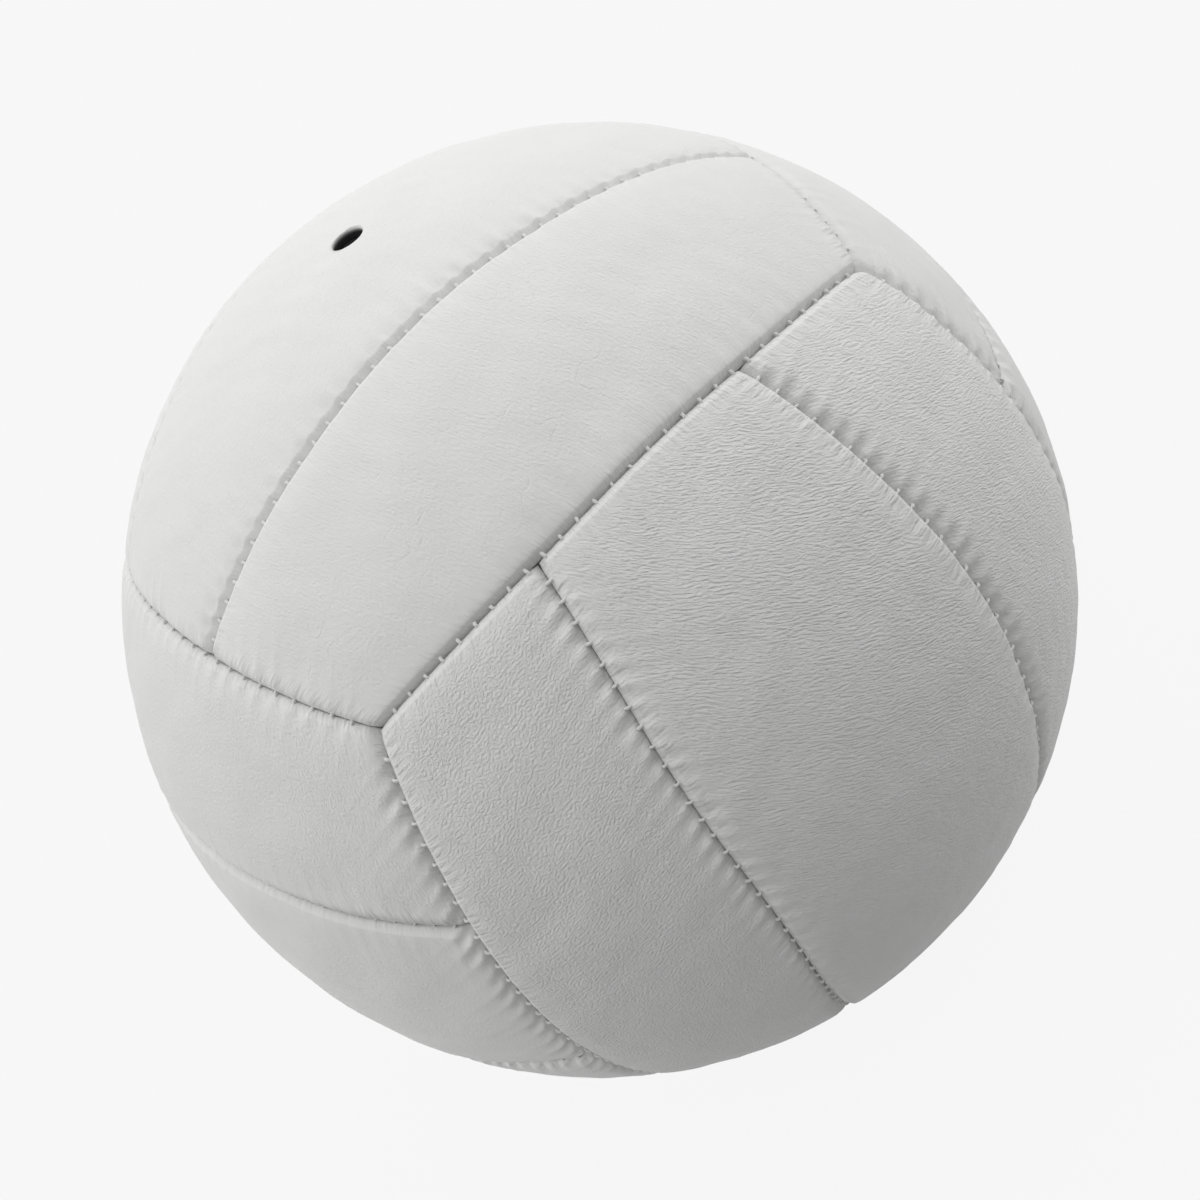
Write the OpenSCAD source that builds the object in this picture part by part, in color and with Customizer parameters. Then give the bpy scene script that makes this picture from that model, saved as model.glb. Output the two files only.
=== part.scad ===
// Hand-stitched indoor volleyball. Six square faces of three leather strips
// each wrap a cloth-lined rubber bladder, with a needle valve in the top face.
// The origin is the ball's centre and +Z leaves through the valve.
// Every seam lies in a plane through the centre. The strips of the top and
// bottom faces run along X, those of the right and left faces along Y, and
// those of the front and back faces along Z. Lengths are in millimetres.

/* [Ball] */
// Diameter over the leather
ball_d = 210; // [190:1:230]

/* [Leather panels] */
// Thickness of the leather
leather_t = 1.4; // [1:0.1:1.8]
// Depth of a panel's turned-in edge, from the ball's surface
turn_in = 4; // [3.4:0.1:5]
// Gap between the turned-in edges of two panels
seam_gap = 0.3; // [0.2:0.05:0.4]
// Width of the rounding along a panel's edge, on the ball's surface
edge_w = 1.5; // [1:0.1:1.8]
// Depth of the rounding along a panel's edge
edge_depth = 1.5; // [1.2:0.1:1.8]

/* [Stitches] */
// Distance from one stitch to the next along a seam
stitch_pitch = 4.1; // [3.5:0.1:7]
// Thickness of the thread
thread_d = 0.6; // [0.4:0.05:0.65]
// Bare seam between its end and the first stitch
stitch_margin = 3.6; // [1.5:0.1:4.5]
// Gap between a stitch's end and the leather
stitch_gap = 0.05; // [0.02:0.01:0.1]

/* [Lining and bladder] */
// Thickness of the cloth lining
lining_t = 0.8; // [0.5:0.1:1.5]
// Thickness of the rubber bladder
bladder_t = 0.6; // [0.4:0.1:1.2]
// Gap between one layer and the next
layer_gap = 0.1; // [0.05:0.01:0.2]

/* [Valve] */
// Diameter of the hole in the leather over the valve
valve_hole_d = 7.3; // [7:0.1:9]
// Gap between the valve's stem and the hole in the leather
stem_gap = 0.25; // [0.15:0.05:0.5]
// Depth of the stem's end below the ball's surface
stem_recess = 2.2; // [1:0.1:3]
// How far the stem stands into the bladder, below its flange
stem_tail = 5; // [3:0.5:8]
// Diameter of the flange that is bonded inside the bladder
flange_d = 30; // [20:1:40]
// Thickness of the flange
flange_t = 1.6; // [1:0.1:2.5]
// Diameter of the plug that seals the stem
core_d = 4.2; // [3.8:0.1:4.6]
// Diameter of the plug's head
core_head_d = 5.4; // [5:0.1:5.6]
// Thickness of the plug's head
core_head_t = 1.4; // [1:0.1:2]
// How far the plug reaches past the stem's tail
core_tip = 3; // [2:0.5:5]
// Gap between the plug and the stem
core_gap = 0.05; // [0.03:0.01:0.08]
// Diameter of the needle's passage
needle_bore_d = 2.2; // [1.8:0.1:2.6]
// Length of the needle's passage below its funnel
needle_bore_l = 8; // [6:0.5:10]
// Diameter of the funnel at the passage's mouth
funnel_d = 3.6; // [3:0.1:4.4]
// Depth of the funnel
funnel_depth = 0.7; // [0.4:0.1:1]

/* [Hidden] */
$fn = 144;

// A face's four sides lie 45 degrees from its middle, as a cube's do
face_angle = 45;
// The middle strip takes this share of a flat face's width
middle_strip_share = 1 / 3;
strip_angle = atan(middle_strip_share);

// Half lengths of the two kinds of seam, as angles at the centre
strip_seam_angle = atan(cos(strip_angle));
face_seam_angle = atan(cos(face_angle));

// Layers from the outside in, as radii
ball_r = ball_d / 2;
leather_inner_r = ball_r - leather_t;
pad_outer_r = leather_inner_r - layer_gap;
turn_in_r = ball_r - turn_in;
lining_outer_r = turn_in_r - layer_gap;
lining_inner_r = lining_outer_r - lining_t;
bladder_outer_r = lining_inner_r - layer_gap;
bladder_inner_r = bladder_outer_r - bladder_t;
flange_outer_r = bladder_inner_r - layer_gap;
flange_inner_r = flange_outer_r - flange_t;

// How far a cutting shape runs past what it cuts
overrun = ball_r;

// A rounded edge is cut with flat steps, whose corners lie on a quarter of an ellipse
edge_steps = 3;
// How far each rounding runs past the corners of its panel, as an angle
edge_past_corner = 3;
// The rounding of a strip's ends, as a share of that along its sides
end_edge_share = 0.85;
panel_inset = seam_gap / 2;
pad_inset = panel_inset + leather_t + layer_gap;

// A stitch's middle lies this share of the thread's thickness below the ball's
// surface, and its ends narrow to this share of it
stitch_sink_share = 0.6;
stitch_tip_share = 0.4;
stitch_depth = thread_d * stitch_sink_share;
stitch_r = ball_r - stitch_depth;
stitch_half_l = edge_inset(stitch_depth) - stitch_gap;
stitch_body_half_l = edge_inset(stitch_depth + thread_d / 2) - stitch_gap;

// Heights of the valve's parts
stem_d = valve_hole_d - 2 * stem_gap;
stem_top_z = ball_r - stem_recess;
stem_bottom_z = flange_inner_r - stem_tail;
core_bottom_z = stem_bottom_z - core_tip;
core_top_z = stem_top_z - core_gap;
head_seat_z = core_top_z - core_head_t;

// Which way each face is turned from the top face: third turns about the
// cube's corner, and whether the face is first flipped over to the far side
TOP = [0, false];
BOTTOM = [0, true];
RIGHT = [1, false];
LEFT = [1, true];
BACK = [2, false];
FRONT = [2, true];

// Strips and seams of a face, from its low side to its high side
LOW = -1;
MIDDLE = 0;
HIGH = 1;

// How far the rounding of a strip's end stands back from the seam at this depth
function edge_inset(depth) =
    let (down = 1 - depth / (end_edge_share * edge_depth))
    panel_inset + end_edge_share * edge_w * (1 - sqrt(1 - pow(down, 2)));

// Corners of the material that rounding takes off an edge, as [radius, height
// above the seam's plane], from the foot of the rounding up to the surface
function edge_corners(share) = [
    for (step = [0 : edge_steps])
        let (turn = 90 * step / edge_steps)
        let (height = panel_inset + share * edge_w * (1 - cos(turn)))
        let (depth = share * edge_depth * (1 - sin(turn)))
        [sqrt(pow(ball_r - depth, 2) - pow(height, 2)), height]
];

// Turns a part of the top face to where another face is
module on_face(face) {
    rotate(120 * face[0], [1, 1, 1])
        rotate([0, face[1] ? 180 : 0, 0])
            children();
}

// A wedge whose sides pass the X axis at these angles from Z, each drawn in
// towards the other by the inset
module wedge(low_angle, high_angle, inset) {
    middle = (low_angle + high_angle) / 2;
    tip = inset / sin((high_angle - low_angle) / 2);
    reach = ball_r + overrun;
    corner = [tip * sin(middle), tip * cos(middle)];
    rotate([90, 0, 90])
        linear_extrude(height = 2 * reach, center = true)
            polygon([
                corner,
                corner + reach * [sin(low_angle), cos(low_angle)],
                corner + reach * [sin(high_angle), cos(high_angle)],
            ]);
}

// The space of one strip of the top face, out to any radius
module strip_space(low_angle, high_angle, inset) {
    intersection() {
        wedge(low_angle, high_angle, inset);
        rotate([0, 0, 90])
            wedge(-face_angle, face_angle, inset);
    }
}

// What rounding takes off an edge on the +Y side of a seam that lies in the XZ
// plane, with its middle on +Z. Its first and last steps run past the edge's faces
module edge_round(half_angle, share) {
    corners = edge_corners(share);
    foot = 2 * corners[0] - corners[1];
    lip = 2 * corners[edge_steps] - corners[edge_steps - 1];
    outside_r = ball_r + share * edge_w;
    run = half_angle + edge_past_corner;
    rotate([-90, -90, 0])
        rotate([0, 0, -run])
            rotate_extrude(angle = 2 * run)
                polygon([
                    foot,
                    for (i = [1 : edge_steps - 1]) corners[i],
                    lip,
                    [outside_r, lip[1]],
                    [outside_r, foot[1]],
                ]);
}

// The rounding of two edges that face each other at these angles from Z
module edge_rounds(low_angle, high_angle, half_angle, share) {
    rotate([-low_angle, 0, 0])
        edge_round(half_angle, share);
    rotate([-high_angle, 0, 0])
        mirror([0, 1, 0])
            edge_round(half_angle, share);
}

// One leather strip of the top face, with its edges turned in
module leather_strip(low_angle, high_angle) {
    difference() {
        intersection() {
            sphere(r = ball_r);
            strip_space(low_angle, high_angle, panel_inset);
        }
        sphere(r = turn_in_r);
        intersection() {
            sphere(r = leather_inner_r);
            strip_space(low_angle, high_angle, panel_inset + leather_t);
        }
        edge_rounds(low_angle, high_angle, strip_seam_angle, 1);
        rotate([0, 0, 90])
            edge_rounds(-face_angle, face_angle, face_seam_angle, end_edge_share);
    }
}

// One backing pad of foam and cloth, inside the turned-in edges
module backing_strip(low_angle, high_angle) {
    difference() {
        intersection() {
            sphere(r = pad_outer_r);
            strip_space(low_angle, high_angle, pad_inset);
        }
        sphere(r = turn_in_r);
    }
}

// A hole along the valve's axis
module valve_hole(d) {
    cylinder(d = d, h = ball_r + overrun);
}

module panel(face, strip) {
    color("white")
        on_face(face)
            if (strip == MIDDLE)
                leather_strip(-strip_angle, strip_angle);
            else
                rotate([0, 0, strip == LOW ? 180 : 0])
                    leather_strip(strip_angle, face_angle);
}

module valve_panel() {
    color("white")
        difference() {
            leather_strip(-strip_angle, strip_angle);
            valve_hole(valve_hole_d);
        }
}

module pad(face, strip) {
    color("lightgrey")
        on_face(face)
            if (strip == MIDDLE)
                backing_strip(-strip_angle, strip_angle);
            else
                rotate([0, 0, strip == LOW ? 180 : 0])
                    backing_strip(strip_angle, face_angle);
}

module valve_pad() {
    color("lightgrey")
        difference() {
            backing_strip(-strip_angle, strip_angle);
            valve_hole(valve_hole_d);
        }
}

// One stitch, a stub of thread along Z that narrows to both ends
module stitch() {
    tip_r = thread_d / 2 * stitch_tip_share;
    rotate_extrude()
        polygon([
            [0, -stitch_half_l],
            [tip_r, -stitch_half_l],
            [thread_d / 2, -stitch_body_half_l],
            [thread_d / 2, stitch_body_half_l],
            [tip_r, stitch_half_l],
            [0, stitch_half_l],
        ]);
}

// The stitches of a seam that leans this angle from Z and runs along X
module seam_stitches(lean, half_angle) {
    arc_l = 2 * PI * ball_r * half_angle / 180;
    gaps = floor((arc_l - 2 * stitch_margin) / stitch_pitch);
    step = stitch_pitch / ball_r * 180 / PI;
    rotate([-lean, 0, 0])
        for (i = [0 : gaps])
            rotate([0, (i - gaps / 2) * step, 0])
                translate([0, 0, stitch_r])
                    rotate([90, 0, 0])
                        stitch();
}

// The stitches between a face's three strips
module strip_stitches(face) {
    color("ivory")
        on_face(face)
            for (side = [LOW, HIGH])
                seam_stitches(side * strip_angle, strip_seam_angle);
}

// The stitches between a face and the one at its low or high side
module face_stitches(face, side) {
    color("ivory")
        on_face(face)
            seam_stitches(side * face_angle, face_seam_angle);
}

module lining() {
    color("beige")
        difference() {
            sphere(r = lining_outer_r);
            sphere(r = lining_inner_r);
            valve_hole(valve_hole_d);
        }
}

module bladder() {
    color("dimgrey")
        difference() {
            sphere(r = bladder_outer_r);
            sphere(r = bladder_inner_r);
            valve_hole(valve_hole_d);
        }
}

// The tube that holds the plug, with the flange that seals it to the bladder
module valve_stem() {
    color("dimgrey")
        difference() {
            union() {
                translate([0, 0, stem_bottom_z])
                    cylinder(d = stem_d, h = stem_top_z - stem_bottom_z);
                difference() {
                    intersection() {
                        sphere(r = flange_outer_r);
                        cylinder(d = flange_d, h = ball_r);
                    }
                    sphere(r = flange_inner_r);
                }
            }
            cylinder(d = core_d + 2 * core_gap, h = ball_r);
            translate([0, 0, head_seat_z - core_gap])
                cylinder(d = core_head_d + 2 * core_gap, h = overrun);
        }
}

// The soft plug that the needle passes, closed by its own slit at the tip
module valve_core() {
    color("black")
        difference() {
            union() {
                translate([0, 0, core_bottom_z])
                    cylinder(d1 = needle_bore_d, d2 = core_d, h = core_tip);
                translate([0, 0, stem_bottom_z])
                    cylinder(d = core_d, h = core_top_z - stem_bottom_z);
                translate([0, 0, head_seat_z])
                    cylinder(d = core_head_d, h = core_head_t);
            }
            translate([0, 0, core_top_z - funnel_depth - needle_bore_l])
                cylinder(d = needle_bore_d, h = needle_bore_l + funnel_depth);
            translate([0, 0, core_top_z - funnel_depth])
                cylinder(d1 = needle_bore_d, d2 = funnel_d, h = funnel_depth);
        }
}

panel(TOP, LOW);  // panel_top_front
valve_panel();  // panel_top_middle
panel(TOP, HIGH);  // panel_top_back
panel(BOTTOM, LOW);  // panel_bottom_front
panel(BOTTOM, MIDDLE);  // panel_bottom_middle
panel(BOTTOM, HIGH);  // panel_bottom_back
panel(RIGHT, LOW);  // panel_right_lower
panel(RIGHT, MIDDLE);  // panel_right_middle
panel(RIGHT, HIGH);  // panel_right_upper
panel(LEFT, LOW);  // panel_left_lower
panel(LEFT, MIDDLE);  // panel_left_middle
panel(LEFT, HIGH);  // panel_left_upper
panel(BACK, LOW);  // panel_back_left
panel(BACK, MIDDLE);  // panel_back_middle
panel(BACK, HIGH);  // panel_back_right
panel(FRONT, LOW);  // panel_front_left
panel(FRONT, MIDDLE);  // panel_front_middle
panel(FRONT, HIGH);  // panel_front_right
pad(TOP, LOW);  // pad_top_front
valve_pad();  // pad_top_middle
pad(TOP, HIGH);  // pad_top_back
pad(BOTTOM, LOW);  // pad_bottom_front
pad(BOTTOM, MIDDLE);  // pad_bottom_middle
pad(BOTTOM, HIGH);  // pad_bottom_back
pad(RIGHT, LOW);  // pad_right_lower
pad(RIGHT, MIDDLE);  // pad_right_middle
pad(RIGHT, HIGH);  // pad_right_upper
pad(LEFT, LOW);  // pad_left_lower
pad(LEFT, MIDDLE);  // pad_left_middle
pad(LEFT, HIGH);  // pad_left_upper
pad(BACK, LOW);  // pad_back_left
pad(BACK, MIDDLE);  // pad_back_middle
pad(BACK, HIGH);  // pad_back_right
pad(FRONT, LOW);  // pad_front_left
pad(FRONT, MIDDLE);  // pad_front_middle
pad(FRONT, HIGH);  // pad_front_right
strip_stitches(TOP);  // stitches_top_strips
face_stitches(TOP, LOW);  // stitches_top_to_front
face_stitches(TOP, HIGH);  // stitches_top_to_back
strip_stitches(BOTTOM);  // stitches_bottom_strips
face_stitches(BOTTOM, LOW);  // stitches_bottom_to_front
face_stitches(BOTTOM, HIGH);  // stitches_bottom_to_back
strip_stitches(RIGHT);  // stitches_right_strips
face_stitches(RIGHT, LOW);  // stitches_right_to_bottom
face_stitches(RIGHT, HIGH);  // stitches_right_to_top
strip_stitches(LEFT);  // stitches_left_strips
face_stitches(LEFT, LOW);  // stitches_left_to_bottom
face_stitches(LEFT, HIGH);  // stitches_left_to_top
strip_stitches(BACK);  // stitches_back_strips
face_stitches(BACK, LOW);  // stitches_back_to_left
face_stitches(BACK, HIGH);  // stitches_back_to_right
strip_stitches(FRONT);  // stitches_front_strips
face_stitches(FRONT, LOW);  // stitches_front_to_left
face_stitches(FRONT, HIGH);  // stitches_front_to_right
lining();
bladder();
valve_stem();
valve_core();
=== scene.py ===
"""The looks of a hand-stitched leather volleyball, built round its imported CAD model.

The ball has six faces of three strips. Each strip is a leather panel with its edges turned in,
and threads lace neighbouring panels together along every seam. All lengths are in metres.
"""

import math
import random

import bmesh
import bpy
import numpy as np
from mathutils import Matrix, Vector


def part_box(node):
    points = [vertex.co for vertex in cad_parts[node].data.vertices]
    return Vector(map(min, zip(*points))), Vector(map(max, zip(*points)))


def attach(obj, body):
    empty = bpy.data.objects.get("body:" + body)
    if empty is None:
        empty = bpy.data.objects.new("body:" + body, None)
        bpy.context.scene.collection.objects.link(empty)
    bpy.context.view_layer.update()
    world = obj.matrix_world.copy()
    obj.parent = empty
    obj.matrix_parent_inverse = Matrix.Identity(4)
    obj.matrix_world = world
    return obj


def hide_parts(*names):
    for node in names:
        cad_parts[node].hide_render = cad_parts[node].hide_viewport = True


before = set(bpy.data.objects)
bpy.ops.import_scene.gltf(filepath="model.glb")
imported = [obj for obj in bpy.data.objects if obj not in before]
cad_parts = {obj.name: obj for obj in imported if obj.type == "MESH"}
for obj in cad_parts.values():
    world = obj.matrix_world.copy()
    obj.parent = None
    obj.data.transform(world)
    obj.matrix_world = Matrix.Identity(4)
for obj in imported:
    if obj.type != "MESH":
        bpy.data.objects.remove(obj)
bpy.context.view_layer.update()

MM = 0.001
BALL_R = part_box("panel_right_middle")[1].x
HOLE_R = 3.65 * MM
MERGE = 0.001 * MM

# Leather panels: their edges' walls, the round over each edge, and the grids that carry them
LEATHER_T = 1.4 * MM
TURN_IN = 4 * MM
SEAM_HALF = 0.03 * MM
EDGE_W = 1.4 * MM
EDGE_DEPTH = 1.15 * MM
EDGE_BULGE = 1.32
CORNER_SHARE = 0.3
CORNER_R = 2.3 * MM
WALL_ROWS = 2
ROUND_CELLS = 10
CORNER_CELLS = 4
LEAST_DEPTH = 0.02 * MM
SKIN_SLANT = 0.1 * MM
LEATHER_STEPS = (0.45 * MM, 0.75 * MM)
INNER_EVERY = 8
STEP_GROWTH = 0.03
STEP_SAMPLES = 2000
# Between these distances from a strip's edges, its grid goes over from true distances to even angles. The widths
# there are found in a few rounds.
TRUE_WIDTH = (6 * MM, 18 * MM)
WIDTH_ROUNDS = 3

# The grid round the valve's hole: its step, how far the fine steps reach, how fast they grow after that, and how
# many rings of cells are left out or turn from round to square
HOLE_STEP = 0.36 * MM
HOLE_FINE = 9 * MM
HOLE_GROWTH = 0.15
HOLE_RING = 8
SQUARE_RINGS = 20
INNER_HOLE_R = HOLE_R + 1 * MM
# The hole's rim as (how far inward, how far down) in millimetres: over the round, down to the valve and up behind
RIM_STEPS = (
    (0.01, 0.03),
    (0.115, 0.12),
    (0.19, 0.26),
    (0.22, 0.45),
    (0.22, 0.75),
    (0.22, 1.1),
    (0.22, 1.9),
    (0.22, 2.8),
    (0.0325, 2.8),
    (0.0325, 1.35),
)
RIM_TOP = 0.1 * MM

# Layers under the leather, each a gap below the one before
LAYER_GAP = 0.1 * MM
PAD_T = 2.5 * MM
PAD_STEPS = (3 * MM, 5 * MM)
PAD_ROUND = 0.3 * PAD_T
PAD_WALL = 0.8 * PAD_T
PAD_DEEPEST = 0.9 * PAD_T
PAD_INSETS = (0.1 * MM, 0.3 * MM, 0.6 * MM)
PAD_HOLE_R = HOLE_R + 0.4 * MM
LINING_T = 0.8 * MM
BLADDER_T = 0.6 * MM
FLANGE_T = 1.6 * MM
PAD_TOP = LEATHER_T + LAYER_GAP
LINING_R = BALL_R - PAD_TOP - PAD_T - LAYER_GAP
BLADDER_R = LINING_R - LINING_T - LAYER_GAP
FLANGE_R = BLADDER_R - BLADDER_T - LAYER_GAP
SHELL_POINTS = 49
SHELL_STEPS = 96

# The valve: its stem in the hole and its plug in the stem
STEM_GAP = 0.25 * MM
STEM_ROUND = 0.3 * MM
STEM_STEPS = 64
FLANGE_POINTS = 8
CORE_R = 2.1 * MM
CORE_GAP = 0.03 * MM
CORE_HEAD_T = 1.4 * MM
CORE_HEAD_GAP = 0.05 * MM
CORE_NOSE_SHARE = 0.6
CORE_NOSE = 3 * MM
CORE_STEPS = 48
HEAD_CHAMFER = 0.2 * MM
HOLLOW_GAP = 0.02 * MM
FUNNEL_R = 1.8 * MM
FUNNEL_DEPTH = 0.7 * MM
NEEDLE_R = 1.1 * MM
NEEDLE_DEPTH = 8.7 * MM
NEEDLE_TIP = 9 * MM

# Stitches: the shape of one, its place on the seam and how the stitches differ
PITCH = 4.1 * MM
SEAM_MARGIN = 3.6 * MM
THREAD_R = 0.3 * MM
THREAD_SIDES = 8
NUB_HALF = 0.52 * MM
# One stitch, as (place across the seam in half stitches, depth in millimetres)
NUB_PATH = ((-1.25, 1.85), (-1.0, 1.45), (-0.6, 1.2), (0, 1.1), (0.6, 1.2), (1.0, 1.45), (1.25, 1.85))
SEAM_LEAN = 8
STITCH_LEAN = 14
STITCH_SHIFT = 0.12 * MM
STITCH_LIFT = 0.06 * MM
STITCH_LENGTHS = (0.75, 1.25)
STITCH_WIDTHS = (0.85, 1.15)
SIDE_SEED = 50

# The soft shape of the leather beside a seam
PILLOW_DROP = 0.35 * MM
PILLOW_REACH = 3.2 * MM
ROLL_REACH = 1.35 * MM
ROLL_POWER = 1.5
# The painted shade beside a seam: the roll depth that gives it in full, and how far it reaches.
DEEP_ROLL = 1.3 * MM
SHADE_REACH = 1.15 * MM
PUCKER_DROP = 0.62 * MM
PUCKER_PLACE = 1.35 * MM
PUCKER_FADE = 0.6
RIDGE_RISE = 0.1 * MM
RIDGE_REACH = 3.5 * MM
RIDGE_WIDTH = 0.16
SEAM_GAPE = 0.03 * MM
GAPE_REACH = 0.8 * MM
# How the puckers, their reach and the creases at the stitches differ along a seam
PULL_SPREAD = (0.55, 1.3)
REACH_SPREAD = (0.8, 1.35)
CREASE_SPREAD = (0.2, 1.6)
FACE_SEED = 100
SEAM_SEED = 10
# The pull, slant and roll of a seam that the photograph doesn't show
CHANCE_PULL = (0.15, 1.1)
CHANCE_SLANT = (-0.5, 0.5)
CHANCE_ROLL = (0.1 * MM, 0.9 * MM)
# How hand-sewn seams wander: how far, over which length, and how near to the valve they start to
WANDER = 0.33 * MM
WANDER_LENGTH = 0.75
WANDER_COUNT = 6
WANDER_SEEDS = (11, 12, 13)
WANDER_START = (0.1, 0.3)
# How the lengths of the waves in a random field differ
WAVE_SPREAD = (0.7, 1.4)
# The swell of the panels: its height, and its waves as (length, count, seed, share)
SWELL = 0.12 * MM
SWELL_WAVES = ((0.2, 10, 31, 0.5), (0.08, 12, 32, 0.3))
# How the seams of the photograph look, with far and near being the sides along the way across their face: how much
# they pucker on the far and the near side, the slant of the puckers, how deep the leather rolls down on the far and
# the near side, over which reach, and how deep the stitches lie.
PUCKERS = {
    "top_side_front": (0.1, 0.12, 0.0, 0.75 * MM, 0.05 * MM, 0.95 * MM, 0.0),
    "top_strip_front": (0.6, 0.1, 0.0, 0.28 * MM, 0.05 * MM, 0.85 * MM, 0.0),
    "front_strip_right": (1.25, 0.2, 0.15, 1.1 * MM, 0.05 * MM, 1.5 * MM, 0.0),
    "front_strip_left": (0.8, 1.6, -0.4, 0.2 * MM, 0.7 * MM, 1.5 * MM, 0.0),
    "front_side_left": (0.15, 1.1, -0.6, 0.05 * MM, 1.1 * MM, 1.3 * MM, 0.0),
    "front_side_right": (1.1, 0.3, 0.3, 0.9 * MM, 0.2 * MM, 1.4 * MM, 0.0),
    "left_side_upper": (0.3, 0.35, 0.1, 0.5 * MM, 0.05 * MM, 1.2 * MM, 0.15 * MM),
    "left_strip_upper": (0.2, 0.05, 0.0, 1.3 * MM, 0.05 * MM, 1.2 * MM, 0.8 * MM),
    "right_side_upper": (0.25, 0.1, 0.0, 0.3 * MM, 0.1 * MM, 1.2 * MM, 0.1 * MM),
}

# The camera looks at the ball's middle from the photograph's side.
AZIMUTH = math.radians(-14.6)
ELEVATION = math.radians(37.2)
ROLL = math.radians(35)
CAMERA_AWAY = 3.45 * BALL_R
LENS = 47.4
CLIP = (0.01, 50)

# Where seams meet in the photograph, by the even layout's direction, and how far right and up of it they lie.
STRAY = {
    "top, front and left": ((-1, -1, 1), -0.2 * MM, -0.3 * MM),
    "top, front and right": ((1, -1, 1), 0.4 * MM, 3.1 * MM),
    "top and front, left strip": ((-1 / 3, -1, 1), 0.0, -0.9 * MM),
    "top and front, right strip": ((1 / 3, -1, 1), 0.9 * MM, 1.5 * MM),
    "top strip and left": ((-1, -1 / 3, 1), -1.5 * MM, 0.0),
    "top strip and right": ((1, -1 / 3, 1), 0.6 * MM, 1.5 * MM),
    "left strip and front": ((-1, -1, 1 / 3), -0.3 * MM, -1.5 * MM),
    "right strip and front": ((1, -1, 1 / 3), 1.3 * MM, -0.1 * MM),
    "along the right strip": ((1 / 3, -1, 1 / 2), 1.0 * MM, 1.1 * MM),
}
STRAY_REACH = 0.24
STRAY_REST = 0.12

X, Y, Z = np.eye(3)
# Each face of the ball: the way its strips run, the way across them, and outward.
FACES = {
    "top": (X, Y, Z),
    "bottom": (-X, Y, -Z),
    "right": (Y, Z, X),
    "left": (-Y, Z, -X),
    "back": (Z, X, Y),
    "front": (-Z, X, -Y),
}
# The names of a face's two outer strips, which also end the names of its long outer seams.
SIDES = {
    "top": ("front", "back"),
    "bottom": ("front", "back"),
    "right": ("lower", "upper"),
    "left": ("lower", "upper"),
    "back": ("left", "right"),
    "front": ("left", "right"),
}
FACE_EDGE = math.radians(45)
STRIP_EDGE = math.atan(math.tan(FACE_EDGE) / 3)


def smooth(x, low, high):
    """From nought at low to one at high, smoothly."""
    t = np.clip((x - low) / (high - low), 0, 1)
    return t * t * (3 - 2 * t)


def unit(v):
    """v or each row of v at length one."""
    return v / np.linalg.norm(v, axis=-1, keepdims=True)


def waves(points, length, count, seed):
    """A smooth random field of about unit size over points, with bumps about that length apart."""
    rng = np.random.default_rng(seed)
    total = np.zeros(len(points))
    for turn in unit(rng.normal(size=(count, 3))):
        stretch = rng.uniform(*WAVE_SPREAD) * 2 * math.pi / length
        total += np.sin(points @ turn * stretch + rng.uniform(0, 2 * math.pi))
    return total * math.sqrt(2 / count)


def camera_axes():
    """The picture's right, up and the way to the camera."""
    level = Vector((math.cos(AZIMUTH), math.sin(AZIMUTH), 0))
    ahead = Vector((math.sin(AZIMUTH), -math.cos(AZIMUTH), 0))
    toward = ahead * math.cos(ELEVATION) + Vector((0, 0, math.sin(ELEVATION)))
    steep = toward.cross(level)
    right = level * math.cos(ROLL) - steep * math.sin(ROLL)
    return right, toward.cross(right), toward


def strayed(d):
    """How far the seams of the photographed ball stray from an even layout at directions d, in ball radii."""
    right, up, toward = (np.array(axis) for axis in camera_axes())
    total, weights = np.zeros_like(d), np.full(len(d), STRAY_REST)
    for place, across, upward in STRAY.values():
        place = unit(np.array(place, float))
        shift = across * right + upward * up
        shift = shift - toward * (place @ shift) / (place @ toward)
        weight = np.exp(-(np.arccos(np.clip(d @ place, -1, 1)) ** 2) / STRAY_REACH**2)
        total += weight[:, None] * shift / BALL_R
        weights += weight
    return total / weights[:, None]


def wandered(d):
    """Directions moved a little, as hand-sewn seams wander. The valve's place stays."""
    fade = WANDER / BALL_R * smooth(np.hypot(d[:, 0], d[:, 1]) + (d[:, 2] < 0), *WANDER_START)
    drift = [waves(d, WANDER_LENGTH, WANDER_COUNT, seed) for seed in WANDER_SEEDS]
    return unit(d + fade[:, None] * np.stack(drift, axis=1) + strayed(d))


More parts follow.
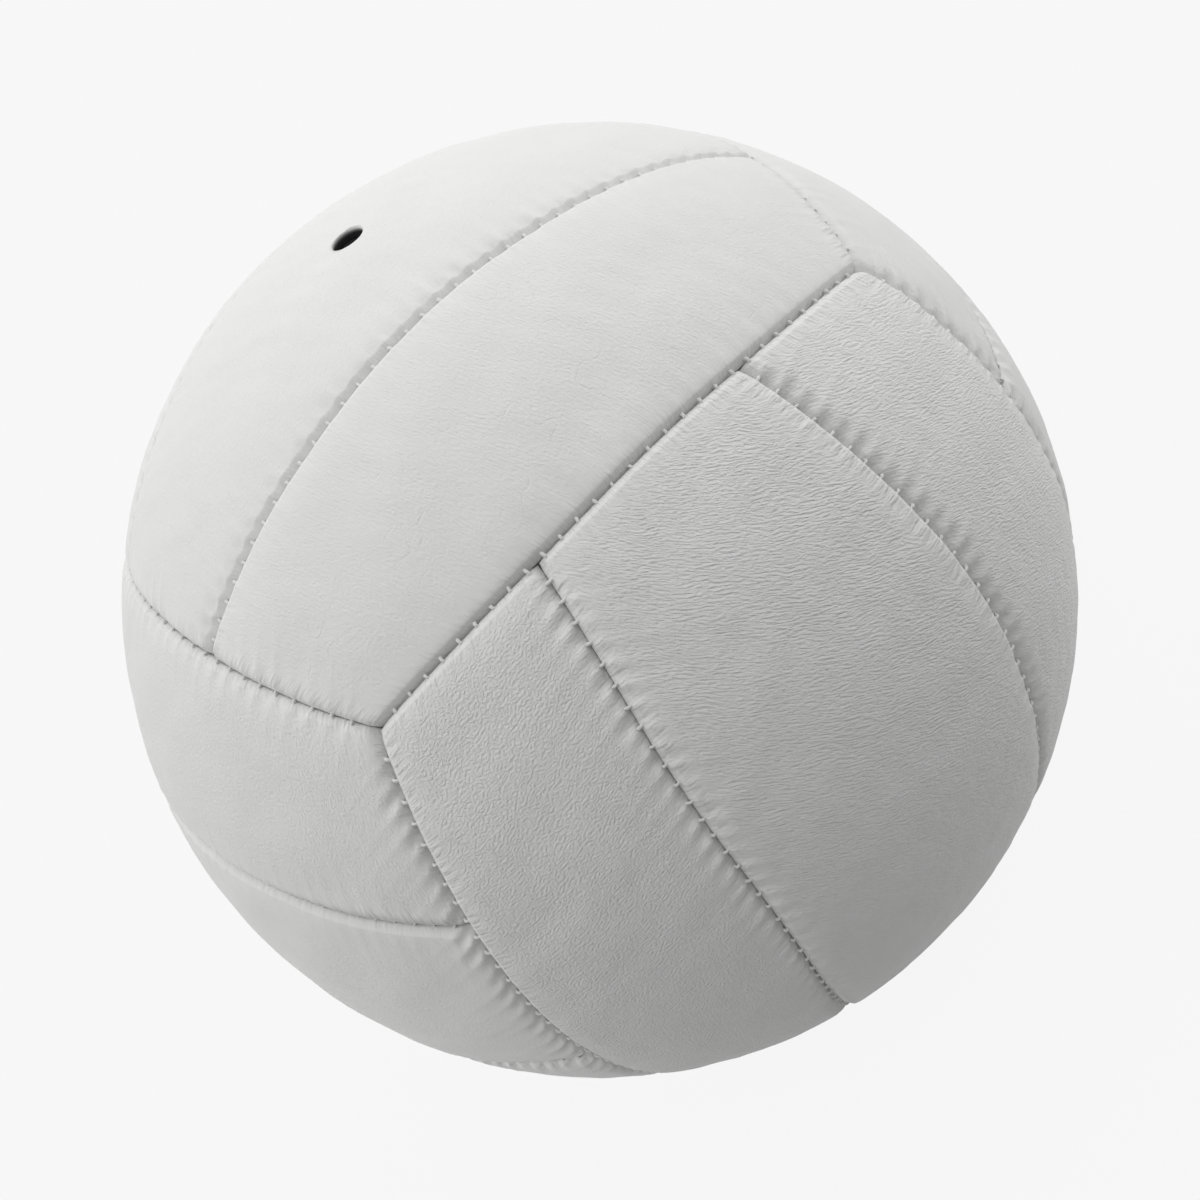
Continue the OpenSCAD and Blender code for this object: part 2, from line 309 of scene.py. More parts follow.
class Seam:
    """One stitched seam along a great circle, with the random pucker of every gap between two stitches."""

    def __init__(self, name, normal, middle, half_arc, seed):
        self.normal, self.middle = normal, middle
        self.tangent = np.cross(normal, middle)
        self.gaps = math.floor(2 * (BALL_R * half_arc - SEAM_MARGIN) / PITCH)
        rng = np.random.default_rng(seed)
        pulls, slant, rolls = rng.uniform(*CHANCE_PULL, 2), rng.uniform(*CHANCE_SLANT), rng.uniform(*CHANCE_ROLL, 2)
        chance = (*pulls, slant, *rolls, ROLL_REACH, 0.0)
        far, near, self.slant, *self.roll, self.roll_reach, self.sunk = PUCKERS.get(name, chance)
        self.pull = np.outer([far, near], np.ones(self.gaps)) * rng.uniform(*PULL_SPREAD, size=(2, self.gaps))
        self.reach = rng.uniform(*REACH_SPREAD, size=(2, self.gaps))
        self.crease = rng.uniform(*CREASE_SPREAD, size=(2, self.gaps + 1))

    def stitches(self):
        """The places of the seam's stitches along it, from its middle."""
        return [(i - self.gaps / 2) * PITCH for i in range(self.gaps + 1)]

    def place(self, d):
        """Distance from the seam and place along it of directions d."""
        away = BALL_R * np.arcsin(np.clip(d @ self.normal, -1, 1))
        along = BALL_R * np.arctan2(d @ self.tangent, d @ self.middle)
        return away, along

    def shade(self, d):
        """How much painted shade darkens the leather beside a deeply rolled seam at directions d."""
        away = self.place(d)[0]
        return self.roll[int(np.mean(away) < 0)] / DEEP_ROLL * np.exp(-((away / SHADE_REACH) ** 2))

    def soften(self, d):
        """How deep the leather sinks at directions d, and how far its edge gapes open."""
        away, along = self.place(d)
        side = int(np.mean(away) < 0)
        away = np.abs(away)
        steps = (along + self.slant * away) / PITCH + self.gaps / 2
        inside = smooth(steps, -PUCKER_FADE, 0) * smooth(self.gaps - steps, -PUCKER_FADE, 0)
        gap = np.clip(np.floor(steps), 0, self.gaps - 1).astype(int)
        stitch = np.clip(np.rint(steps), 0, self.gaps).astype(int)
        wave = (1 - np.cos(2 * math.pi * steps)) / 2 * inside
        share = away / PUCKER_PLACE / self.reach[side][gap]
        depth = PILLOW_DROP * np.exp(-away / PILLOW_REACH)
        depth += self.roll[side] * np.exp(-((away / self.roll_reach) ** ROLL_POWER))
        depth += PUCKER_DROP * self.pull[side][gap] * wave * share * np.exp((1 - share**2) / 2)
        ridge = np.exp(-(((steps - stitch) / RIDGE_WIDTH) ** 2)) * inside
        depth -= RIDGE_RISE * self.crease[side][stitch] * ridge * share * np.exp(-away / RIDGE_REACH)
        gape = SEAM_GAPE * wave * np.exp(-away / GAPE_REACH)
        return depth, gape


def turned(face, vector):
    """A vector of the top face's frame, turned into that face's frame."""
    return sum(part * axis for part, axis in zip(vector, FACES[face]))


def make_seams():
    """Every seam of the ball by name: two between the strips of each face, and twelve between faces."""
    seams = {}
    for number, face in enumerate(FACES):
        for sign, side in zip((-1, 1), SIDES[face]):
            for name, edge in ((f"{face}_strip_{side}", STRIP_EDGE), (f"{face}_side_{side}", FACE_EDGE)):
                normal = turned(face, (0, math.cos(edge), -sign * math.sin(edge)))
                middle = turned(face, (0, sign * math.sin(edge), math.cos(edge)))
                half_arc = math.atan(math.tan(FACE_EDGE) * math.cos(edge))
                seed = FACE_SEED * number + SEAM_SEED * len(seams)
                seams[name] = Seam(name, normal, middle, half_arc, seed)
    return seams


SEAMS = make_seams()
# The least cosine between two directions that count as the same.
SAME_WAY = 0.999


def seam_near(normal, middle):
    """The seam on that great circle and middle."""
    for seam in SEAMS.values():
        if abs(seam.normal @ normal) > SAME_WAY and seam.middle @ middle > SAME_WAY:
            return seam
    raise ValueError("no seam there")


def graded(half, first, widest, hole):
    """Distances from nought to half, whose steps grow from first to widest, and shrink again where the hole is.

    Their number lets the inner skin of a panel take every so many lines of the outer one.
    """
    s = np.linspace(0, half, STEP_SAMPLES)
    step = np.minimum(first + STEP_GROWTH * s, widest)
    if hole:
        step = np.minimum(step, HOLE_STEP + HOLE_GROWTH * np.clip(half - s - HOLE_FINE, 0, None))
    count = np.concatenate([[0], np.cumsum(np.diff(s) * 2 / (step[1:] + step[:-1]))])
    every = INNER_EVERY // 2
    cells = every * math.ceil(count[-1] / every)
    return np.interp(np.linspace(0, count[-1], cells + 1), count, s)


class Strip:
    """The plan of one panel-shaped layer: a grid over one strip of one face, with rounded corners."""

    def __init__(self, face, low, high):
        self.face, self.low, self.high = face, low, high
        self.sizes = 2 * FACE_EDGE * BALL_R, (high - low) * BALL_R
        self.seams = []
        for sign in (-1, 1):
            edge = high if sign > 0 else low
            normal = turned(face, (0, -sign * math.cos(edge), sign * math.sin(edge)))
            middle = turned(face, (0, math.sin(edge), math.cos(edge)))
            self.seams.append(seam_near(normal, middle))
        for sign in (-1, 1):
            normal = turned(face, (math.cos(FACE_EDGE), 0, -sign * math.sin(FACE_EDGE)))
            middle = turned(face, (sign * math.sin(FACE_EDGE), 0, math.cos(FACE_EDGE)))
            self.seams.append(seam_near(normal, middle))

    def axis(self, rows, length, steps, hole):
        """Along one direction: every grid line's side, row number and distance from the nearest edge."""
        reach = rows[-1][0]
        inner = reach + graded(length / 2 - reach, *steps, hole)
        half = np.concatenate([[s for s, _ in rows[:-1]], inner])
        index = np.minimum(np.arange(len(half)), len(rows) - 1)
        side = np.concatenate([-np.ones(len(half)), np.ones(len(half) - 1)])
        return side, np.concatenate([index, index[-2::-1]]), np.concatenate([half, half[-2::-1]])

    def directions(self, rows, lines, hole, every):
        """Every grid point's direction, depth and edge row, for rows of (distance, depth)."""
        (side_x, row_x, s_x), (side_y, row_y, s_y) = lines
        last = len(rows) - 1
        gx, gy = (a.ravel() for a in np.meshgrid(np.arange(len(s_x)), np.arange(len(s_y))))
        sx, sy, kx, ky = s_x[gx], s_y[gy], row_x[gx], row_y[gy]
        shell = np.minimum(kx, ky)
        row_s = np.array([s for s, _ in rows])
        row_depth = np.array([depth for _, depth in rows])
        corner = (kx < last) & (ky < last)
        fx, fy = (last - kx) / last, (last - ky) / last
        most, least = np.maximum(fx, fy), np.minimum(fx, fy)
        bend = math.pi / 4 * least / np.where(most > 0, most, 1)
        radius = rows[-1][0] - row_s[shell]
        roundness = 1 - (1 - CORNER_SHARE) * np.clip((row_depth[shell] - rows[-1][1]) / EDGE_DEPTH, 0, 1)
        near = rows[-1][0] - radius * (1 - roundness + roundness * np.cos(bend))
        far = rows[-1][0] - radius * ((1 - roundness) * np.tan(bend) + roundness * np.sin(bend))
        sx = np.where(corner, np.where(fx >= fy, near, far), sx)
        sy = np.where(corner, np.where(fx >= fy, far, near), sy)
        side_x, side_y = side_x[gx], side_y[gy]
        edge_y = np.where(side_y < 0, self.low, self.high)
        a = side_x * (FACE_EDGE - sx / BALL_R)
        b = edge_y - side_y * sy / BALL_R
        if hole:
            a, b = self.open_hole(a, b, gx, gy, len(s_x) // 2, len(s_y) // 2, hole, every)
        grow_x, grow_y = (1 - smooth(s, *TRUE_WIDTH) for s in (sx, sy))
        a1, b1 = a, b
        for _ in range(WIDTH_ROUNDS):
            wide_x = 1 + (1 / np.cos(np.arctan(np.tan(b1) * math.cos(FACE_EDGE))) - 1) * grow_x
            wide_y = 1 + (1 / np.cos(np.arctan(np.tan(a1) * np.cos(edge_y))) - 1) * grow_y
            a1 = side_x * FACE_EDGE + (a - side_x * FACE_EDGE) * wide_x
            b1 = edge_y + (b - edge_y) * wide_y
        d = unit(np.stack([np.tan(a1), np.tan(b1), np.ones_like(a1)], axis=1))
        d = d @ np.array(FACES[self.face])
        return d, row_depth[shell], shell

    def open_hole(self, a, b, gx, gy, middle_x, middle_y, hole, every):
        """Moves the grid round the valve from squares to circles, so that the ring of cells round it is round."""
        radius, ring = hole
        qx, qy = (gx - middle_x) * every, (gy - middle_y) * every
        q, least = np.maximum(abs(qx), abs(qy)), np.minimum(abs(qx), abs(qy))
        bend = math.pi / 4 * least / np.maximum(q, 1)
        wide = abs(qx) >= abs(qy)
        crossing = (a, gy == middle_y), (b, gx == middle_x)
        starts = [np.max(abs(way[line & (q == ring)])) for way, line in crossing]
        out = radius / BALL_R + np.where(wide, abs(a) - starts[0], abs(b) - starts[1])
        long_way, short_way = out * np.cos(bend), out * np.sin(bend)
        round_a = np.sign(qx) * np.where(wide, long_way, short_way)
        round_b = np.sign(qy) * np.where(wide, short_way, long_way)
        blend = smooth(q, ring, ring + SQUARE_RINGS)
        return a * blend + round_a * (1 - blend), b * blend + round_b * (1 - blend)


def grid_skin(bm, columns, lines, points, flip):
    """Adds a grid of columns by lines cells to bm, with its points in place, and returns its vertices."""
    made = bmesh.ops.create_grid(bm, x_segments=columns, y_segments=lines, size=1)["verts"]
    for vert, point in zip(made, points):
        vert.co = point
    if flip:
        faces = list({face for vert in made for face in vert.link_faces})
        bmesh.ops.reverse_faces(bm, faces=faces)
    return made


def cut_hole(bm, verts, columns, lines, ring):
    """Takes out the block of cells round the grid's middle, and returns the edges of the hole's rim."""
    inner = []
    for index, vert in enumerate(verts):
        x, y = index % (columns + 1) - columns // 2, index // (columns + 1) - lines // 2
        if max(abs(x), abs(y)) < ring:
            inner.append(vert)
    rim = {vert for v in inner for e in v.link_edges for vert in e.verts} - set(inner)
    rim |= {v for f in {f for v in inner for f in v.link_faces} for v in f.verts} - set(inner)
    bmesh.ops.delete(bm, geom=inner, context="VERTS")
    return [e for e in bm.edges if e.is_boundary and e.verts[0] in rim and e.verts[1] in rim]


def join_rims(bm, upper, lower):
    """Closes the wall of a layer's hole, from each point of the upper rim to the nearest one of the lower rim."""
    made = bmesh.ops.extrude_edge_only(bm, edges=upper)["geom"]
    below = list({vert for edge in lower for vert in edge.verts})
    moved = [part for part in made if isinstance(part, bmesh.types.BMVert)]
    for vert in moved:
        vert.co = min(below, key=lambda other: (other.co.xy - vert.co.xy).length).co
    bmesh.ops.remove_doubles(bm, verts=moved + below, dist=MERGE)


def new_object(name, bm, material, smooth_faces=True):
    """An object at the origin, made from bm."""
    mesh = bpy.data.meshes.new(name)
    bm.to_mesh(mesh)
    bm.free()
    mesh.materials.append(material)
    if smooth_faces:
        mesh.shade_smooth()
    obj = bpy.data.objects.new(name, mesh)
    bpy.context.scene.collection.objects.link(obj)
    return obj


def dress(obj, slot, *nodes):
    """obj stands for those CAD nodes and rides on the ball; slot is not used."""
    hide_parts(*nodes)
    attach(obj, "root")
    return obj


class Value:
    """One output socket, so that shader sums are written as ordinary maths."""

    def __init__(self, graph, socket):
        self.graph, self.socket = graph, socket

    def __add__(self, other):
        return self.graph.maths("ADD", self, other)

    def __radd__(self, other):
        return self.graph.maths("ADD", other, self)

    def __sub__(self, other):
        return self.graph.maths("SUBTRACT", self, other)

    def __rsub__(self, other):
        return self.graph.maths("SUBTRACT", other, self)

    def __mul__(self, other):
        return self.graph.maths("MULTIPLY", self, other)

    def __rmul__(self, other):
        return self.graph.maths("MULTIPLY", other, self)

    def __pow__(self, other):
        return self.graph.maths("POWER", self, other)

    def __rpow__(self, other):
        return self.graph.maths("POWER", other, self)


class Graph:
    """A node tree that is filled by short calls."""

    def __init__(self, tree):
        self.tree = tree
        tree.nodes.clear()

    def put(self, socket, value):
        """Links or sets an input socket."""
        if isinstance(value, Value):
            self.tree.links.new(value.socket, socket)
        else:
            socket.default_value = value

    def maths(self, operation, *values):
        """A Math node on values, each a socket or a number."""
        made = self.tree.nodes.new("ShaderNodeMath")
        made.operation = operation
        for socket, value in zip(made.inputs, values):
            self.put(socket, value)
        return Value(self, made.outputs[0])

    def node(self, kind, settings, sockets, output=0):
        """Any other node, with its settings and then its input sockets set; returns one of its outputs."""
        made = self.tree.nodes.new(kind)
        for name, value in settings.items():
            setattr(made, name, value)
        for name, value in sockets.items():
            self.put(made.inputs[name], value)
        return Value(self, made.outputs[output]) if made.outputs else made

    def noise(self, vector, scale, detail):
        """A noise about one half."""
        return self.node("ShaderNodeTexNoise", {}, {"Vector": vector, "Scale": scale, "Detail": detail}, "Fac")

    def stretch(self, vector, x, y, z=1.0):
        """vector, times x, y and z."""
        return self.node("ShaderNodeVectorMath", {"operation": "MULTIPLY"}, {0: vector, 1: (x, y, z)})

    def warped(self, vector, scale, reach):
        """vector, pushed about by up to reach either way by a noise."""
        push = self.node("ShaderNodeTexNoise", {}, {"Vector": vector, "Scale": scale, "Detail": 0.0}, "Color")
        centred = self.node("ShaderNodeVectorMath", {"operation": "SUBTRACT"}, {0: push, 1: (0.5, 0.5, 0.5)})
        shift = self.stretch(centred, 2 * reach, 2 * reach, 0.0)
        return self.node("ShaderNodeVectorMath", {"operation": "ADD"}, {0: vector, 1: shift})

    def ramp(self, value, low, high):
        """From nought at low to one at high, smoothly."""
        sockets = {"Value": value, "From Min": low, "From Max": high}
        return self.node("ShaderNodeMapRange", {"interpolation_type": "SMOOTHSTEP"}, sockets)

    def attribute(self, name):
        """A number that the mesh holds for every vertex."""
        return self.node("ShaderNodeAttribute", {"attribute_name": name}, {}, "Fac")

    def mixed(self, factor, a, b):
        """Two colours mixed; the node's sockets 6, 7 and 2 are its colours."""
        return self.node("ShaderNodeMix", {"data_type": "RGBA"}, {0: factor, 6: a, 7: b}, 2)

    def backdrop_ray(self):
        """Whether a ray sees the pale backdrop: from the camera, off a gloss or through something clear."""
        kinds = ("Camera", "Glossy", "Transmission")
        camera, gloss, clear = (self.node("ShaderNodeLightPath", {}, {}, f"Is {kind} Ray") for kind in kinds)
        return self.maths("MAXIMUM", self.maths("MAXIMUM", camera, gloss), clear)

    def bump(self, height, distance):
        """The normal of a surface with that height, in units of distance."""
        return self.node("ShaderNodeBump", {}, {"Height": height, "Distance": distance})

    def surface(self, **sockets):
        """The Principled surface of a material, with an underscore for each space in the sockets' names."""
        named = {name.replace("_", " "): value for name, value in sockets.items()}
        shader = self.node("ShaderNodeBsdfPrincipled", {}, named)
        self.node("ShaderNodeOutputMaterial", {}, {"Surface": shader})


def grey(value):
    """A grey as a colour socket takes it."""
    return value, value, value, 1


def material(name):
    """A new material and its graph."""
    made = bpy.data.materials.new(name)
    made.use_nodes = True
    return made, Graph(made.node_tree)


# The leather's grain. Noises are (scale, detail), with scales as counts a metre; RIPPLES, PEBBLES and CRACKS are
# counts a metre along and across.
PATCHES = (90.0, 1.0)
PATCH_EDGES = (0.38, 0.6)
PATCH_SHARE = 0.2
WAVY = (170.0, 0.55 * MM)
CURLY = (330.0, 0.35 * MM)
RIPPLES = (560.0, 2350.0)
RIPPLE_DETAIL = 1.0
PEBBLES = (1500.0, 2350.0)
PEBBLE_DETAIL = 2.5
CREASES = (110.0, 1.0)
CREASE_WIDTH = 0.012
CREASE_PLACES = (60.0, 1.0)
CREASE_EDGES = (0.52, 0.62)
CREASE_DEPTH = 0.1
CRACKS = (900.0, 170.0)
CRACK_DETAIL = 2.0
CRACK_DEPTH = 1.1
CRACK_BASE = 0.35
CRACK_REACH = (0.8 * MM, 4.5 * MM)
# How far from a seam the ripples and pebbles are weaker, and by how much.
CALM_REACH = (1.5 * MM, 6 * MM)
RIPPLE_CALM = 0.7
PEBBLE_CALM = 0.6
GRAIN_DEPTH = 0.38 * MM
LEATHER_ROUGH = (0.46, 0.1)
ROUGH_SPOTS = (300.0, 3.0)
LEATHER_SPECULAR = 0.42
LEATHER_TONES = ((0.815, 0.815, 0.805, 1), (0.85, 0.85, 0.845, 1))
TONE_SPOTS = (55.0, 3.0)
# Painted shade beside the deeply rolled seams: its grey, and how much of it is mixed in.
PAINTED_SEAM_SHADE = (0.33, 0.33, 0.325, 1)
PAINTED_SEAM_SHADE_SHARE = 0.38
# Painted shade on the leather's wall inside the valve's hole, near black deep down: how near to the hole's wall,
# and between which depths it darkens.
PAINTED_HOLE_SHADE = grey(0.03)
HOLE_SHADE_MARGIN = 0.2 * MM
HOLE_SHADE_DEPTHS = (0.35 * MM, 1.1 * MM)
# Both maps lie off the noises' origin.
GRAIN_SHIFT = 0.3
STRIP_SHIFT = 0.5


def leather_material():
    """White leather: ripples or pebbles along the panel's own grain, sparse creases, fine cracks into the seams."""
    made, g = material("white_leather")
    grain = g.node("ShaderNodeUVMap", {"uv_map": "grain"}, {})
    strip = g.node("ShaderNodeUVMap", {"uv_map": "strip"}, {})
    near_side, near_end = g.attribute("side_distance"), g.attribute("end_distance")
    ripple, pebble, cut = g.attribute("ripple"), g.attribute("pebble"), g.attribute("cut")
    calm = g.ramp(g.maths("MINIMUM", near_side, near_end), *CALM_REACH)
    patch = g.ramp(g.noise(grain, *PATCHES), *PATCH_EDGES)
    wavy, curly = g.warped(grain, *WAVY), g.warped(grain, *CURLY)
    ripples = g.noise(g.stretch(wavy, *RIPPLES), 1.0, RIPPLE_DETAIL) - 0.5
    pebbles = g.noise(g.stretch(curly, *PEBBLES), 1.0, PEBBLE_DETAIL) - 0.5
    height = ripples * ripple * (1 - PATCH_SHARE + PATCH_SHARE * patch) * (1 - RIPPLE_CALM + RIPPLE_CALM * calm)
    pebbled = pebbles * (pebble + PATCH_SHARE * ripple * (1 - patch))
    height = height + pebbled * (1 - PEBBLE_CALM + PEBBLE_CALM * calm)
    line = g.maths("ABSOLUTE", g.noise(curly, *CREASES) - 0.5)
    sparse = g.ramp(g.noise(grain, *CREASE_PLACES), *CREASE_EDGES)
    height = height - CREASE_DEPTH * (1 - g.ramp(line, 0.0, CREASE_WIDTH)) * sparse * calm
    for scales, distance in ((CRACKS, near_side), (CRACKS[::-1], near_end)):
        cracks = g.noise(g.stretch(strip, *scales), 1.0, CRACK_DETAIL) - 0.5
        beside = 1 - g.ramp(distance, *CRACK_REACH)
        height = height + CRACK_DEPTH * cracks * (CRACK_BASE + ripple + pebble) * beside
    least_rough, rough_range = LEATHER_ROUGH
    rough = least_rough + rough_range * g.noise(grain, *ROUGH_SPOTS)
    tone = g.mixed(g.noise(grain, *TONE_SPOTS), *LEATHER_TONES)
    # Painted shade: the leather greyed beside the deeply rolled seams, where shade falls on the rolled edge.
    tone = g.mixed(PAINTED_SEAM_SHADE_SHARE * g.attribute("shade"), tone, PAINTED_SEAM_SHADE)
    # Painted shade: the leather's wall deep in the valve's hole turned near black, where shade falls in the recess.
    tone = g.mixed(cut, tone, PAINTED_HOLE_SHADE)
    bump = g.bump(height, GRAIN_DEPTH)
    g.surface(Base_Color=tone, Roughness=rough, Specular_IOR_Level=LEATHER_SPECULAR, Normal=bump)
    return made


# The finishes of all but the leather.
PLAIN_DETAIL = 2.0
PLAIN_DARK = 0.85
PLAIN_ROUGH_RANGE = 0.1
PLAIN_SPECULAR = 0.3


def plain_material(name, colour, roughness, grain, grain_size=1 * MM):
    """A matt or satin finish with a fine grain that also varies its colour."""
    made, g = material(name)
    place = g.node("ShaderNodeTexCoord", {}, {}, "Object")
    speck = g.noise(place, 1 / grain_size, PLAIN_DETAIL)
    dark = tuple(PLAIN_DARK * part for part in colour)
    tone = g.mixed(speck, (*dark, 1), (*colour, 1))
    rough = roughness + PLAIN_ROUGH_RANGE * speck
    g.surface(Base_Color=tone, Roughness=rough, Specular_IOR_Level=PLAIN_SPECULAR, Normal=g.bump(speck, grain))
    return made


LEATHER = leather_material()
THREAD = plain_material("white_thread", (0.86, 0.86, 0.85), 0.6, 0.03 * MM, 0.25 * MM)
BACKING = plain_material("foam_backing", (0.74, 0.73, 0.70), 0.85, 0.05 * MM, 0.5 * MM)
CLOTH = plain_material("lining_cloth", (0.72, 0.66, 0.55), 0.85, 0.06 * MM, 0.6 * MM)
BLADDER = plain_material("bladder_rubber", (0.035, 0.035, 0.035), 0.55, 0.02 * MM)
VALVE = plain_material("valve_rubber", (0.018, 0.018, 0.018), 0.6, 0.02 * MM)
PLUG = plain_material("plug_rubber", (0.014, 0.014, 0.014), 0.62, 0.02 * MM)

# The edges of the layers as rows of (distance from the seam, depth). A panel's: up the turned-in wall, then over it
# in a quarter round, then on to the corner's radius.
LEATHER_ROWS = [(SEAM_HALF, TURN_IN), (SEAM_HALF, (TURN_IN + EDGE_DEPTH) / 2)]
for step_number in range(ROUND_CELLS + 1):
    turn = math.pi / 2 * step_number / ROUND_CELLS
    over, up = (max(part, 0) ** (2 / EDGE_BULGE) for part in (math.cos(turn), math.sin(turn)))
    LEATHER_ROWS.append((SEAM_HALF + EDGE_W * (1 - over), EDGE_DEPTH * (1 - up)))
ROUND_END = SEAM_HALF + EDGE_W
for step_number in range(1, CORNER_CELLS + 1):
    LEATHER_ROWS.append((ROUND_END + (CORNER_R - ROUND_END) * step_number / CORNER_CELLS, 0.0))
INNER_EDGE = SEAM_HALF + LEATHER_T
LEATHER_INNER_ROWS = [(INNER_EDGE, TURN_IN), (INNER_EDGE + SKIN_SLANT, LEATHER_T), (CORNER_R, LEATHER_T)]
PAD_EDGE = INNER_EDGE + LAYER_GAP
PAD_ROWS = [
    (PAD_EDGE, PAD_TOP + PAD_WALL),
    (PAD_EDGE, PAD_TOP + PAD_ROUND),
    (PAD_EDGE + PAD_ROUND, PAD_TOP),
    (CORNER_R, PAD_TOP),
]
PAD_INNER_ROWS = [(PAD_EDGE + inset, PAD_TOP + PAD_T) for inset in PAD_INSETS]
PAD_INNER_ROWS.append((CORNER_R, PAD_TOP + PAD_T))

# How each panel's grain looks: ripples, pebbles and the way it runs, in degrees from the strip's length.
GRAIN = {
    "front_middle": (1.0, 0.3, 57),
    "front_right": (0.85, 0.3, 57),
    "front_left": (0.1, 1.2, 113),
    "top_front": (0.35, 0.35, 106),
    "top_middle": (0.25, 0.4, 26),
    "top_back": (0.2, 0.3, 60),
    "right_upper": (0.4, 0.35, 40),
    "left_upper": (0.35, 0.6, 117),
    "left_middle": (0.15, 0.3, 117),
}
PLAIN_GRAIN = (0.4, 0.5, 30)


def strip_parts(face):
    """The three strips of a face as (name, low edge, high edge)."""
    low_side, high_side = SIDES[face]
    return [
        (f"{face}_{low_side}", -FACE_EDGE, -STRIP_EDGE),
        (f"{face}_middle", -STRIP_EDGE, STRIP_EDGE),
        (f"{face}_{high_side}", STRIP_EDGE, FACE_EDGE),
    ]


def sinking(strip, d):
    """How far the leather sinks below the round ball at directions d, and the directions with the edges gaping."""
    sunk = SWELL * (1 + sum(share * waves(d, *wave) for *wave, share in SWELL_WAVES))
    moved = d.copy()
    for seam in strip.seams:
        depth, gape = seam.soften(d)
        sunk += depth
        inward = np.sign(np.mean(d @ seam.normal))
        moved += (inward * gape / BALL_R)[:, None] * seam.normal
    return sunk, moved


def soften(strip, d, row_depth, shell):
    """The depth of every point of a panel's outer skin, and its directions with the edges gaping a little."""
    sunk, moved = sinking(strip, d)
    depth = row_depth + sunk
    wall = shell < WALL_ROWS
    share = (WALL_ROWS - shell) / WALL_ROWS
    foot = EDGE_DEPTH + sunk
    depth = np.where(wall, foot + (TURN_IN - foot) * share, depth)
    return np.maximum(depth, LEAST_DEPTH), unit(moved)


def uv_layer(obj, name, values):
    """A UV map of one value a vertex."""
    layer = obj.data.uv_layers.new(name=name)
    corner = np.zeros(len(obj.data.loops), np.int32)
    obj.data.loops.foreach_get("vertex_index", corner)
    layer.data.foreach_set("uv", values[corner].astype(np.float32).ravel())


def float_layer(obj, name, values):
    """An attribute of one number a vertex."""
    layer = obj.data.attributes.new(name, "FLOAT", "POINT")
    layer.data.foreach_set("value", values.astype(np.float32))


def leather_panel(face, name, low, high):
    """One leather panel: an outer skin with puckered edges turned in, and a coarser inner skin behind it."""
    strip = Strip(face, low, high)
    hole = name == "top_middle"
    lines = [strip.axis(LEATHER_ROWS, size, LEATHER_STEPS, hole) for size in strip.sizes]
    d, row_depth, shell = strip.directions(LEATHER_ROWS, lines, (HOLE_R, HOLE_RING) if hole else None, 1)
    depth, open_d = soften(strip, d, row_depth, shell)
    points = wandered(open_d) * (BALL_R - depth)[:, None]
    inner_lines = []
    edge_s = np.array([s for s, _ in LEATHER_INNER_ROWS])
    last = len(edge_s) - 1
    for side, row, s in lines:
        side, row, s = side[::INNER_EVERY], row[::INNER_EVERY], s[::INNER_EVERY]
        inner_row = np.minimum(row // INNER_EVERY, last)
        inner_lines.append((side, inner_row, np.where(row < last * INNER_EVERY, edge_s[inner_row], s)))
    inner_hole = (INNER_HOLE_R, HOLE_RING) if hole else None
    inner_d, inner_depth, inner_shell = strip.directions(LEATHER_INNER_ROWS, inner_lines, inner_hole, INNER_EVERY)
    inner_depth += np.where(inner_shell > 0, sinking(strip, inner_d)[0], 0)
    inner_points = wandered(inner_d) * (BALL_R - inner_depth)[:, None]
    bm = bmesh.new()
    cells = [len(side) - 1 for side, _, _ in lines]
    inner_cells = [count // INNER_EVERY for count in cells]
    outer = grid_skin(bm, *cells, points, False)
    inner = grid_skin(bm, *inner_cells, inner_points, True)
    bmesh.ops.bridge_loops(bm, edges=[e for e in bm.edges if e.is_boundary])
    if hole:
        rim, inner_rim = cut_hole(bm, outer, *cells, HOLE_RING), cut_hole(bm, inner, *inner_cells, 1)
        bmesh.ops.bridge_loops(bm, edges=round_rim(bm, rim) + inner_rim)
    bmesh.ops.recalc_face_normals(bm, faces=bm.faces)
    obj = new_object(f"leather_{name}", bm, LEATHER)
    finish_leather(obj, strip, name)
    return dress(obj, "leather", f"panel_{name}")


def round_rim(bm, edges):
    """Rounds the valve hole's rim over, and turns the leather in down to the valve as a thin lip."""
    for inward, down in RIM_STEPS:
        made = bmesh.ops.extrude_edge_only(bm, edges=edges)["geom"]
        edges = [part for part in made if isinstance(part, bmesh.types.BMEdge) and part.is_boundary]
        for vert in {vert for edge in edges for vert in edge.verts}:
            around = Vector((vert.co.x, vert.co.y, 0)).normalized()
            vert.co = around * (HOLE_R - inward * MM) + Vector((0, 0, BALL_R - RIM_TOP - down * MM))
    return edges


